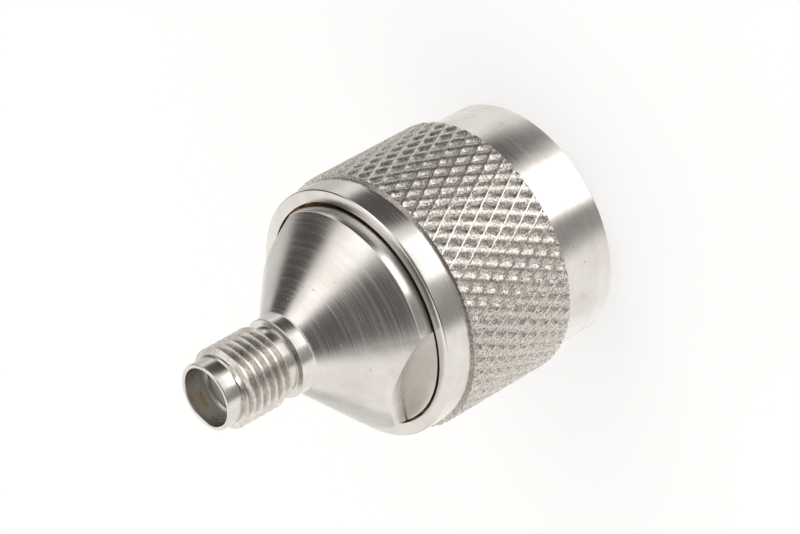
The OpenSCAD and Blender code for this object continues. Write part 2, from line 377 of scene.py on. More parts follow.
@dataclass(frozen=True)
class GrainedMetal:
    """Metal with an even grain and no lathe marks, such as a rolled knurl or a drawn spring."""

    name: str
    colour: str
    dull_colour: str
    roughness: float
    grain_mm: float
    grain_depth_mm: float
    # Size of the colour patches and how far their mix goes past the two colours; on the knurl they paint a
    # speckle of glints and shade
    patch_mm: float = 0.6
    patch_contrast: float = 0.0
    smoother: float = 0.06
    rougher: float = 0.1

    def build(self) -> bpy.types.Material:
        """Makes the material.

        Returns:
            The material.
        """
        material, tree = new_material(self.name)
        place = add_node(tree, "ShaderNodeTexCoord").outputs["Object"]
        grain = add_node(
            tree,
            "ShaderNodeTexNoise",
            values={"Scale": 1.0 / (self.grain_mm * MM), "Detail": 3.0, "Roughness": 0.6},
            links={"Vector": place},
        ).outputs["Fac"]
        cloud = add_node(
            tree,
            "ShaderNodeTexNoise",
            values={"Scale": 1.0 / (self.patch_mm * MM), "Detail": 4.0, "Roughness": 0.65},
            links={"Vector": place},
        ).outputs["Fac"]
        grained_surface(tree, self, grain, cloud, self.patch_contrast, {"Metallic": 1.0})
        return material


@dataclass(frozen=True)
class MattSolid:
    """A plastic or rubber with a fine grain and a slightly uneven colour."""

    name: str
    colour: str
    dull_colour: str
    roughness: float
    ior: float
    # Grain of a mould or a cutter, drawn coarser than real so that it shows
    grain_mm: float = 0.12
    grain_depth_mm: float = 0.004
    smoother: float = 0.05
    rougher: float = 0.05

    def build(self) -> bpy.types.Material:
        """Makes the material.

        Returns:
            The material.
        """
        material, tree = new_material(self.name)
        place = add_node(tree, "ShaderNodeTexCoord").outputs["Object"]
        grain = add_node(
            tree,
            "ShaderNodeTexNoise",
            values={"Scale": 1.0 / (self.grain_mm * MM), "Detail": 3.0},
            links={"Vector": place},
        ).outputs["Fac"]
        grained_surface(tree, self, grain, grain, 0.0, {"IOR": self.ior})
        return material


class Finishes:
    """The finishes of the adapter, each made once and shared by the pieces."""

    def __init__(self) -> None:
        """Makes every finish."""
        # Turned bar, left as cut: rings that catch the light in one bright streak
        self.body = TurnedSteel("turned_stainless_body").build()
        # The nut is cut with a finer feed, so its band is a little glossier
        self.nut = TurnedSteel("turned_stainless_nut", roughness=0.2, ring_mm=0.1).build()
        # Passivated after turning: even and a little duller, with hardly a pit
        self.contact = TurnedSteel("passivated_stainless", roughness=0.25, pit_depth_mm=0.005).build()
        # Knurling wheels press and tear the steel, so its cells sparkle with a coarse grain, drawn coarser
        # than the real one so that it shows. The sparkle is partly painted: a fine speckle pushed past
        # pale and very dark steel paints glints and shade in the cells, and the very dark colour paints
        # the shade that falls in the knurl's hollows
        self.knurl = GrainedMetal(
            "knurled_stainless_painted_glints_and_shade",
            "d6d1ca",
            "75706a",
            roughness=0.32,
            grain_mm=0.14,
            grain_depth_mm=0.02,
            patch_mm=0.13,
            patch_contrast=0.35,
        ).build()
        # A die cuts the thread and leaves its flanks slightly torn and duller than turned steel
        self.thread = GrainedMetal(
            "die_cut_stainless", "d6d2cd", "aeaaa4", roughness=0.27, grain_mm=0.1, grain_depth_mm=0.008
        ).build()
        # Drawn spring bronze: warm, orange in the light
        self.bronze = GrainedMetal(
            "phosphor_bronze", "d99a5b", "b8743a", roughness=0.3, grain_mm=0.05, grain_depth_mm=0.002
        ).build()
        # Gold over nickel: smooth, with a soft sheen
        self.gold = GrainedMetal(
            "gold_plate", "f0cf83", "ddb562", roughness=0.22, grain_mm=0.04, grain_depth_mm=0.001
        ).build()
        # Moulded silicone rubber: matt, brick red
        self.rubber = MattSolid("silicone_rubber", "a33a28", "8d2f20", roughness=0.6, ior=1.41).build()
        # Machined fluoropolymer: waxy white
        self.ptfe = MattSolid("ptfe", "b4b5ad", "a3a49c", roughness=0.5, ior=1.38).build()
        # Moulded polymethylpentene bead: cream
        self.bead = MattSolid("bead_plastic", "e2dccb", "d2ccba", roughness=0.45, ior=1.46).build()


# ---------------------------------------------------------------- mesh work


# A section's corner: radius, height and, where its edge is broken, the bevel's width, in mm
Corner = tuple[float, ...]


def half_section(bm: bmesh.types.BMesh, corners: Sequence[Corner]) -> None:
    """Draws a half section in the XZ plane, open where it starts on the axis.

    Args:
        bm: The empty mesh that gets it.
        corners: Its corners in order.
    """
    verts = [bm.verts.new((c[0] * MM, 0.0, c[1] * MM)) for c in corners]
    for a, b in zip(verts, verts[1:]):
        bm.edges.new((a, b))
    if corners[0][0] > 0:
        bm.edges.new((verts[-1], verts[0]))
    widths = {v: c[2] for v, c in zip(verts, corners) if len(c) > 2}
    for width in sorted(set(widths.values())):
        bmesh.ops.bevel(
            bm,
            geom=[v for v, w in widths.items() if w == width],
            offset=width * MM,
            offset_type="OFFSET",
            segments=3,
            profile=0.5,
            affect="VERTICES",
            clamp_overlap=True,
            material=-1,
        )


def turn(corners: Sequence[Corner], steps: int = SPIN_STEPS) -> bmesh.types.BMesh:
    """Turns a half section into a closed solid of revolution.

    Args:
        corners: The section's corners in order.
        steps: Steps round the axis.

    Returns:
        The new mesh.
    """
    bm = bmesh.new()
    half_section(bm, corners)
    bmesh.ops.spin(
        bm,
        geom=[*bm.verts, *bm.edges],
        cent=(0, 0, 0),
        axis=AXIS,
        dvec=(0, 0, 0),
        angle=2 * math.pi,
        steps=steps,
        use_merge=True,
    )
    bmesh.ops.remove_doubles(bm, verts=bm.verts, dist=MERGE_MM * MM)
    bmesh.ops.recalc_face_normals(bm, faces=bm.faces)
    return bm


def add_object(name: str, bm: bmesh.types.BMesh) -> bpy.types.Object:
    """Puts a mesh into the scene.

    Args:
        name: The object's name.
        bm: Its mesh, which is used up.

    Returns:
        The new object.
    """
    mesh = bpy.data.meshes.new(name)
    bm.to_mesh(mesh)
    bm.free()
    item = bpy.data.objects.new(name, mesh)
    bpy.context.scene.collection.objects.link(item)
    return item


def join(parts: Sequence[bmesh.types.BMesh]) -> bmesh.types.BMesh:
    """Joins several shells into one mesh.

    Args:
        parts: The shells, which are used up.

    Returns:
        One mesh that holds them all.
    """
    whole = bmesh.new()
    for part in parts:
        mesh = bpy.data.meshes.new("part")
        part.to_mesh(mesh)
        part.free()
        whole.from_mesh(mesh)
        bpy.data.meshes.remove(mesh)
    return whole


def cut(bm: bmesh.types.BMesh, cutters: Sequence[tuple[Vector, Vector]]) -> bmesh.types.BMesh:
    """Cuts plain blocks out of a closed shell.

    Args:
        bm: The shell, which is used up.
        cutters: The lowest and highest corner of each block, in millimetres.

    Returns:
        The shell without the blocks.
    """
    blank = add_object("blank", bm)
    tools = []
    for low, high in cutters:
        block = bmesh.new()
        bmesh.ops.create_cube(block, size=1.0)
        bmesh.ops.scale(block, vec=(high - low) * MM, verts=block.verts)
        bmesh.ops.translate(block, vec=(high + low) / 2 * MM, verts=block.verts)
        tool = add_object("tool", block)
        step = blank.modifiers.new("cut", "BOOLEAN")
        step.operation = "DIFFERENCE"
        step.solver = "EXACT"
        step.object = tool
        tools.append(tool)
    graph = bpy.context.evaluated_depsgraph_get()
    result = bmesh.new()
    result.from_mesh(blank.evaluated_get(graph).to_mesh())
    for item in [blank, *tools]:
        data = item.data
        bpy.data.objects.remove(item)
        bpy.data.meshes.remove(data)
    bmesh.ops.remove_doubles(result, verts=result.verts, dist=MERGE_MM * MM)
    bmesh.ops.recalc_face_normals(result, faces=result.faces)
    return result


def finish_piece(
    name: str,
    bm: bmesh.types.BMesh,
    materials: Sequence[bpy.types.Material],
    body: Body,
    nodes: Sequence[str],
    smooth_deg: float = 28.0,
) -> bpy.types.Object:
    """Makes a piece of a mesh, dresses it and ties it to the frame.

    Args:
        name: The piece's name.
        bm: Its mesh, which is used up.
        materials: Its materials, in the order of the faces' numbers.
        body: The body that it rides on.
        nodes: The nodes of the frame that it stands for.
        smooth_deg: Faces that meet at less than this are shaded as one surface.

    Returns:
        The new object.
    """
    piece = add_object(name, bm)
    mesh = piece.data
    for material in materials:
        mesh.materials.append(material)
    mesh.shade_smooth()
    mesh.set_sharp_from_angle(angle=math.radians(smooth_deg))
    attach(piece, body.value)
    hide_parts(*nodes)
    LOG.info("%s: %d faces on %s", name, len(mesh.polygons), body.value)
    return piece


def close_ends(bm: bmesh.types.BMesh, radius_mm: float) -> None:
    """Closes an open sleeve: its two rims go to one radius, and a wall joins them.

    Args:
        bm: The sleeve.
        radius_mm: Radius of the hidden wall.
    """
    rims = [e for e in bm.edges if e.is_boundary]
    grown = bmesh.ops.extrude_edge_only(bm, edges=rims)["geom"]
    for vert in (g for g in grown if isinstance(g, bmesh.types.BMVert)):
        scale = radius_mm * MM / math.hypot(vert.co.x, vert.co.y)
        vert.co.x *= scale
        vert.co.y *= scale
    bmesh.ops.bridge_loops(bm, edges=[e for e in bm.edges if e.is_boundary])
    bmesh.ops.recalc_face_normals(bm, faces=bm.faces)


def slice_off(bm: bmesh.types.BMesh, place: Sequence[float], normal: Sequence[float]) -> None:
    """Cuts away what lies beyond a plane.

    Args:
        bm: The mesh.
        place: A point on the plane, in millimetres.
        normal: Its normal, on the side that goes.
    """
    bmesh.ops.bisect_plane(
        bm,
        geom=[*bm.verts, *bm.edges, *bm.faces],
        dist=ON_PLANE,
        plane_co=Vector(place) * MM,
        plane_no=normal,
        clear_outer=True,
    )


@dataclass
class HelicalThread:
    """A 60 degree thread as a thin closed sleeve, round a barrel or inside a bore."""

    major_r: float
    minor_r: float
    pitch: float
    low_z: float
    high_z: float
    core_r: float
    hidden_r: float
    chamfer: float
    crest_share: float = 0.125
    outside: bool = True
    finish: int = 0
    steps: int = 96
    flank_deg: float = 30.0
    merge_mm: float = 0.001

    def section(self) -> list[tuple[float, float]]:
        """Lays out one pitch: root, flank, crest and flank.

        Returns:
            Its corners, as radius and height.
        """
        flank = (self.major_r - self.minor_r) * math.tan(math.radians(self.flank_deg))
        flat = self.pitch * self.crest_share
        low, high = (self.minor_r, self.major_r) if self.outside else (self.major_r, self.minor_r)
        root = self.pitch - 2 * flank - flat
        corners = [(low, 0.0), (low, root), (high, root + flank), (high, root + flank + flat)]
        return [*corners, (low, self.pitch)]

    def build(self) -> bmesh.types.BMesh:
        """Winds the section up the axis, trims both ends square and runs them out.

        Returns:
            The closed sleeve.
        """
        bm = bmesh.new()
        turns = math.ceil((self.high_z - self.low_z) / self.pitch) + 2
        start = self.low_z - 1.5 * self.pitch
        verts = [bm.verts.new((r * MM, 0.0, (start + z) * MM)) for r, z in self.section()]
        for pair in zip(verts, verts[1:]):
            bm.edges.new(pair)
        bmesh.ops.spin(
            bm,
            geom=[*bm.verts, *bm.edges],
            cent=(0, 0, 0),
            axis=AXIS,
            dvec=(0, 0, self.pitch * MM / self.steps),
            angle=2 * math.pi * turns,
            steps=self.steps * turns,
        )
        bmesh.ops.remove_doubles(bm, verts=bm.verts, dist=self.merge_mm * MM)
        slice_off(bm, (0, 0, self.low_z), (0, 0, -1))
        slice_off(bm, (0, 0, self.high_z), (0, 0, 1))
        self.run_out(bm)
        close_ends(bm, self.hidden_r)
        for face in bm.faces:
            face.material_index = self.finish
        return bm

    def run_out(self, bm: bmesh.types.BMesh) -> None:
        """Chamfers both ends down to the core's radius.

        Args:
            bm: The wound thread, open at both ends.
        """
        depth = abs((self.major_r if self.outside else self.minor_r) - self.core_r)
        for vert in bm.verts:
            radius = math.hypot(vert.co.x, vert.co.y) / MM
            height = vert.co.z / MM
            near = min(height - self.low_z, self.high_z - height)
            room = depth * min(1.0, max(0.0, near) / self.chamfer)
            if self.outside:
                wanted = min(radius, self.core_r + room)
            else:
                wanted = max(radius, self.core_r - room)
            vert.co.x *= wanted / radius
            vert.co.y *= wanted / radius


@dataclass
class DiamondKnurl:
    """A band of two crossing sets of ridges, as a pair of knurling wheels presses it.

    One set has broad round backs. The other stands over it as thin crisp crests.
    """

    ridge_r: float = 10.45
    count: int = 54
    rows: int = 9
    low_z: float = 5.1
    length: float = 10.0
    hidden_r: float = 9.4
    back_r: float = 0.8
    crest_w: float = 0.07
    wall_deg: float = 38.0
    merge_mm: float = 0.002
    # How far the pattern starts from the +X side and from the band's middle
    round_mm: float = -0.134
    along_mm: float = 0.609
    # Where each diamond is divided, in shares of its width
    columns: Sequence[float] = (0.0, 0.033, 0.13, 0.22, 0.5, 0.78, 0.87, 0.967)

    def relief(self, across: float, along: float, gap: float) -> float:
        """Depth of the surface below the ridges.

        Args:
            across: Place across the thin crests, counted in diamonds.
            along: Place across the round backs, counted in diamonds.
            gap: Distance between two ridges of a set, in millimetres.

        Returns:
            The depth as a height of zero or less, in millimetres.
        """
        from_crest = max(0.0, abs(across - round(across)) * gap - self.crest_w / 2)
        from_back = abs(along - round(along)) * gap
        wall = -from_crest * math.tan(math.radians(self.wall_deg))
        return max(wall, -(from_back**2) / (2 * self.back_r))

    def flat_cells(self) -> bmesh.types.BMesh:
        """Lays the diamonds out flat: x runs round the nut, y along it, z is the relief.

        Returns:
            The relief of one full turn.
        """
        pitch = 2 * math.pi * self.ridge_r / self.count
        row_h = self.length / self.rows
        gap = pitch * row_h / math.hypot(pitch / 2, row_h)
        reach = self.count * pitch / 2
        cells = 2 * math.ceil((self.count + self.rows) / 2 + 2)
        quarter = Matrix.Rotation(math.pi / 4, 3, "Z")
        stretch = Vector((pitch / math.sqrt(2), row_h * math.sqrt(2), 1.0))
        start = Vector((self.round_mm, self.along_mm - row_h / 2, 0))
        bm = bmesh.new()
        bmesh.ops.create_grid(bm, x_segments=cells, y_segments=cells, size=cells / 2)
        spare = []
        for face in bm.faces:
            middle = (quarter @ face.calc_center_median()) * stretch + start
            if abs(middle.y) > self.length / 2 + row_h or abs(middle.x) > reach + pitch:
                spare.append(face)
        bmesh.ops.delete(bm, geom=spare, context="FACES")
        steps = len(self.columns)
        bmesh.ops.subdivide_edges(bm, edges=bm.edges, cuts=steps - 1, use_grid_fill=True)
        for vert in bm.verts:
            cell, column = divmod(round(vert.co.x * steps), steps)
            vert.co.x = cell + self.columns[column]
            vert.co.z = self.relief(vert.co.x, vert.co.y, gap)
        for face in bm.faces:
            across = face.calc_center_median().x
            face.material_index = int(abs(across - round(across)) * gap > self.crest_w / 2)
        bmesh.ops.rotate(bm, verts=bm.verts, cent=(0, 0, 0), matrix=quarter)
        bmesh.ops.scale(bm, verts=bm.verts, vec=stretch)
        bmesh.ops.translate(bm, verts=bm.verts, vec=start)
        bmesh.ops.scale(bm, verts=bm.verts, vec=(MM, MM, MM))
        for side in (-1, 1):
            slice_off(bm, (0, side * self.length / 2, 0), (0, side, 0))
            slice_off(bm, (side * reach, 0, 0), (side, 0, 0))
        return bm

    def build(self) -> bmesh.types.BMesh:
        """Wraps the flat band round the nut and closes it as a sleeve.

        Returns:
            The closed sleeve.
        """
        bm = self.flat_cells()
        for vert in bm.verts:
            angle = vert.co.x / (self.ridge_r * MM)
            radius = self.ridge_r * MM + vert.co.z
            height = (self.low_z + self.length / 2) * MM + vert.co.y
            vert.co = (radius * math.cos(angle), radius * math.sin(angle), height)
        bmesh.ops.remove_doubles(bm, verts=bm.verts, dist=self.merge_mm * MM)
        close_ends(bm, self.hidden_r)
        return bm


# ---------------------------------------------------------------- sub-assemblies


@dataclass
class CouplingNut:
    """The nut: plain band, diamond knurl and collar outside, 5/8-24 thread inside."""

    finishes: Finishes
    length: float = 17.4
    band_r: float = 9.85
    collar_r: float = 10.1
    relief_r: float = 8.1
    rear_r: float = 9.05
    groove_r: float = 9.55
    groove_z: float = 15.2
    groove_top_z: float = 16.3
    shoulder_z: float = 12.9
    knurl: DiamondKnurl = field(default_factory=DiamondKnurl)
    thread: HelicalThread = field(
        default_factory=lambda: HelicalThread(
            major_r=7.94,
            minor_r=7.37,
            pitch=25.4 / 24,
            low_z=0.07,
            high_z=8.73,
            core_r=8.1,
            hidden_r=8.3,
            chamfer=0.73,
            outside=False,
        )
    )

    def core(self) -> bmesh.types.BMesh:
        """Turns the nut without its knurl and thread.

        Returns:
            The turned core.
        """
        step_z = self.knurl.low_z + self.knurl.length / 2
        return turn(
            [
                (self.relief_r, 0.0, 0.06),
                (self.band_r, 0.0, 0.15),
                (self.band_r, step_z),
                (self.collar_r, step_z),
                (self.collar_r, self.length, 0.2),
                (self.rear_r, self.length, 0.06),
                (self.rear_r, self.groove_top_z, 0.04),
                (self.groove_r, self.groove_top_z),
                (self.groove_r, self.groove_z),
                (self.rear_r, self.groove_z, 0.04),
                (self.rear_r, self.shoulder_z),
                (self.relief_r, self.shoulder_z, 0.05),
            ]
        )

    def build(self) -> bpy.types.Object:
        """Builds the nut as one piece.

        Returns:
            The nut.
        """
        core, sleeve, thread = self.core(), self.knurl.build(), self.thread.build()
        return finish_piece(
            "nut_with_knurl",
            join([core, sleeve, thread]),
            [self.finishes.nut, self.finishes.knurl],
            Body.NUT,
            ["coupling_nut"],
        )


@dataclass
class RetainingRing:
    """The split bronze ring that keeps the nut on the body."""

    finishes: Finishes
    inner_r: float = 8.2
    outer_r: float = 9.5
    low_z: float = 15.2
    high_z: float = 16.0
    gap: float = 2.5
    overrun: float = 1.0

    def build(self) -> bpy.types.Object:
        """Turns the ring and saws its gap.

        Returns:
            The ring.
        """
        ring = turn(
            [
                (self.inner_r, self.low_z, 0.08),
                (self.outer_r, self.low_z, 0.08),
                (self.outer_r, self.high_z, 0.08),
                (self.inner_r, self.high_z, 0.08),
            ]
        )
        saw = (
            Vector((0, -self.gap / 2, self.low_z - self.overrun)),
            Vector((self.outer_r + self.overrun, self.gap / 2, self.high_z + self.overrun)),
        )
        return finish_piece(
            "split_ring",
            cut(ring, [saw]),
            [self.finishes.bronze],
            Body.NUT,
            ["retaining_ring"],
        )


@dataclass
class AdapterShell:
    """The turned body: SMA jack, collar, cone with two wrench flats, flange and nose."""

    finishes: Finishes
    face_z: float = 11.6
    flange_z: float = 13.2
    cone_z: float = 18.6
    cone_end_z: float = 24.275
    collar_end_z: float = 25.475
    top_z: float = 32.175
    ref_z: float = 30.245
    seat_z: float = 16.0
    nose_r: float = 7.0
    flange_r: float = 8.85
    groove_r: float = 7.95
    groove_z: float = 15.05
    groove_top_z: float = 16.15
    neck_r: float = 2.6
    pilot_r: float = 2.65
    # How far the pilot reaches back under the end of the thread
    pilot_lap: float = 0.2
    bore_r: float = 2.32
    dielectric_r: float = 2.07
    seat_r: float = 4.62
    flat_x: float = 7.3
    ledge_z: float = 17.4
    steps: int = 256
    thread: HelicalThread = field(
        default_factory=lambda: HelicalThread(
            major_r=3.175,
            minor_r=2.742,
            pitch=25.4 / 36,
            low_z=26.475,
            high_z=30.9,
            core_r=2.62,
            hidden_r=2.5,
            chamfer=0.12,
            crest_share=0.08,
            finish=1,
        )
    )

    def turned_shell(self) -> bmesh.types.BMesh:
        """Turns the body without its SMA thread and wrench flats.

        Returns:
            The turned shell.
        """
        pilot_z = self.thread.high_z - self.pilot_lap
        return turn(
            [
                (self.seat_r, self.face_z, 0.05),
                (self.nose_r, self.face_z, 0.12),
                (self.nose_r, self.flange_z),
                (self.flange_r, self.flange_z, 0.12),
                (self.flange_r, self.groove_z, 0.04),
                (self.groove_r, self.groove_z),
                (self.groove_r, self.groove_top_z),
                (self.flange_r, self.groove_top_z, 0.04),
                (self.flange_r, self.cone_z, 0.06),
                (self.thread.major_r, self.cone_end_z, 0.12),
                (self.thread.major_r, self.collar_end_z, 0.1),
                (self.neck_r, self.collar_end_z, 0.08),
                (self.neck_r, pilot_z),
                (self.pilot_r, pilot_z),
                (self.pilot_r, self.top_z, 0.1),
                (self.bore_r, self.top_z, 0.09),
                (self.bore_r, self.ref_z),
                (self.dielectric_r, self.ref_z, 0.03),
                (self.dielectric_r, self.seat_z),
                (self.seat_r, self.seat_z),
            ],
            steps=self.steps,
        )

    def build(self) -> bpy.types.Object:
        """Builds the body as one piece.

        Returns:
            The body.
        """
        far = 2 * self.flange_r
        right = Vector((self.flat_x, -far, self.ledge_z)), Vector((far, far, self.cone_end_z))
        left = Vector((-far, -far, self.ledge_z)), Vector((-self.flat_x, far, self.cone_end_z))
        shell = cut(self.turned_shell(), [right, left])
        return finish_piece(
            "adapter_shell",
            join([shell, self.thread.build()]),
            [self.finishes.body, self.finishes.thread],
            Body.ADAPTER,
            ["adapter_body"],
        )


@dataclass
class PlugFront:
    """What shows inside the nut: gasket, outer contact, centre pin, bead and its retainer."""

    finishes: Finishes
    contact_r: float = 4.015
    contact_bore_r: float = 3.5
    contact_z: float = 1.2
    seat_r: float = 4.6
    seat_z: float = 16.0
    face_z: float = 11.6
    gasket_r: float = 6.8
    gasket_bore_r: float = 4.395
    gasket_z: float = 10.1
    root_r: float = 4.315
    bead_r: float = 3.8
    bead_z: float = 9.6
    pin_tip_r: float = 0.825
    pin_tip_z: float = 2.1
    pin_shoulder_z: float = 6.5
    pin_r: float = 1.52
    pin_rear_r: float = 1.2
    pin_end_z: float = 15.0
    pin_taper: float = 0.8
    pin_hole_r: float = 0.5
    pin_hole_len: float = 1.5
    bead_len: float = 2.0
    fit_gap: float = 0.02
    pin_steps: int = 96

    def build(self) -> list[bpy.types.Object]:
        """Builds the five pieces.

        Returns:
            The pieces.
        """
        looks = self.finishes
        bead_seat_r = self.bead_r + self.fit_gap
        bead_bore_r = self.pin_rear_r + self.fit_gap
        bead_end_z = self.bead_z + self.bead_len
        hole_z = self.pin_end_z - self.pin_hole_len
        gasket = turn(
            [
                (self.gasket_bore_r, self.gasket_z, 0.2),
                (self.gasket_r, self.gasket_z, 0.35),
                (self.gasket_r, self.face_z, 0.1),
                (self.gasket_bore_r, self.face_z, 0.05),
            ]
        )
        contact = turn(
            [
                (self.contact_bore_r, self.contact_z, 0.08),
                (self.contact_r, self.contact_z, 0.2),
                (self.contact_r, self.gasket_z),
                (self.root_r, self.gasket_z, 0.05),
                (self.root_r, self.face_z),
                (self.seat_r, self.face_z),
                (self.seat_r, self.seat_z),
                (bead_seat_r, self.seat_z),
                (bead_seat_r, self.bead_z),
                (self.contact_bore_r, self.bead_z),
            ]
        )
        pin = turn(
            [
                (0.0, self.pin_tip_z),
                (self.pin_tip_r / 2, self.pin_tip_z, 0.15),
                (self.pin_tip_r, self.pin_tip_z + self.pin_taper, 0.3),
                (self.pin_tip_r, self.pin_shoulder_z, 0.05),
                (self.pin_r, self.pin_shoulder_z, 0.08),
                (self.pin_r, self.bead_z),
                (self.pin_rear_r, self.bead_z),
                (self.pin_rear_r, self.pin_end_z, 0.1),
                (self.pin_hole_r, self.pin_end_z),
                (self.pin_hole_r, hole_z),
                (0.0, hole_z),
            ],
            steps=self.pin_steps,
        )
        bead = turn(
            [
                (bead_bore_r, self.bead_z),
                (self.bead_r, self.bead_z, 0.05),
                (self.bead_r, bead_end_z, 0.05),
                (bead_bore_r, bead_end_z),
            ]
        )
        retainer = turn(
            [
                (self.contact_bore_r, self.face_z, 0.03),
                (self.bead_r, self.face_z, 0.03),
                (self.bead_r, self.seat_z, 0.03),
                (self.contact_bore_r, self.seat_z, 0.03),
            ]
        )
        rows = (
            ("gasket_ring", gasket, looks.rubber, Slot.RUBBER, "face_gasket"),
            ("outer_sleeve", contact, looks.contact, Slot.CONTACT, "outer_contact"),
            ("centre_pin", pin, looks.gold, Slot.GOLD, "pin_contact"),
            ("pin_bead", bead, looks.bead, Slot.BEAD, "pin_insulator"),
            ("bead_sleeve", retainer, looks.contact, Slot.CONTACT, "bead_retainer"),
        )
        return [
            finish_piece(name, bm, [look], Body.ADAPTER, [node])
            for name, bm, look, slot, node in rows
        ]


@dataclass
class JackCentre:
    """The SMA side's slotted socket and the dielectric round it."""

    finishes: Finishes
    socket_r: float = 0.635
    socket_bore_r: float = 0.47
    tail_r: float = 0.48
    tail_z: float = 13.5
    tail_end_z: float = 15.0
    socket_top_z: float = 30.145
    bore_len: float = 3.0
    slot_w: float = 0.2
    slot_len: float = 2.5
    dielectric_r: float = 2.05
    dielectric_z: float = 16.0
    dielectric_top_z: float = 30.095
    fit_gap: float = 0.02
    overrun: float = 1.0
    socket_steps: int = 64

    def build(self) -> list[bpy.types.Object]:
        """Builds the two pieces.

        Returns:
            The pieces.
        """
        floor_z = self.socket_top_z - self.bore_len
        socket = turn(
            [
                (0.0, self.tail_z),
                (self.tail_r, self.tail_z, 0.05),
                (self.tail_r, self.tail_end_z),
                (self.socket_r, self.tail_end_z, 0.03),
                (self.socket_r, self.socket_top_z, 0.05),
                (self.socket_bore_r, self.socket_top_z, 0.05),
                (self.socket_bore_r, floor_z),
                (0.0, floor_z),
            ],
            steps=self.socket_steps,
        )
        low_z, high_z = self.socket_top_z - self.slot_len, self.socket_top_z + self.overrun
        half, far = self.slot_w / 2, 2 * self.socket_r
        along_x = Vector((-far, -half, low_z)), Vector((far, half, high_z))
        along_y = Vector((-half, -far, low_z)), Vector((half, far, high_z))
        dielectric = turn(
            [
                (self.socket_r + self.fit_gap, self.dielectric_z),
                (self.dielectric_r, self.dielectric_z, 0.03),
                (self.dielectric_r, self.dielectric_top_z, 0.06),
                (self.socket_r + self.fit_gap, self.dielectric_top_z, 0.03),
            ]
        )
        return [
            finish_piece(
                "slotted_socket",
                cut(socket, [along_x, along_y]),
                [self.finishes.gold],
                Body.ADAPTER,
                ["socket_contact"],
            ),
            finish_piece(
                "jack_dielectric",
                dielectric,
                [self.finishes.ptfe],
                Body.ADAPTER,
                ["socket_insulator"],
            ),
        ]


# ---------------------------------------------------------------- studio


def direction(azimuth_deg: float, elevation_deg: float) -> Vector:
    """A direction from its angle round +Z, counted from +X, and its height above the floor."""
    az, el = math.radians(azimuth_deg), math.radians(elevation_deg)
    return Vector((math.cos(el) * math.cos(az), math.cos(el) * math.sin(az), math.sin(el)))


class Outline(Enum):
    """The outline of a studio panel."""

    OVAL = "oval"
    SQUARE = "square"


@dataclass(frozen=True)
class Panel:
    """A soft-edged panel of the studio: a lit softbox, or a dark flag where its level is low."""

    azimuth: float
    elevation: float
    width: float
    height: float
    level: float
    soft: float = 0.35
    outline: Outline = Outline.OVAL


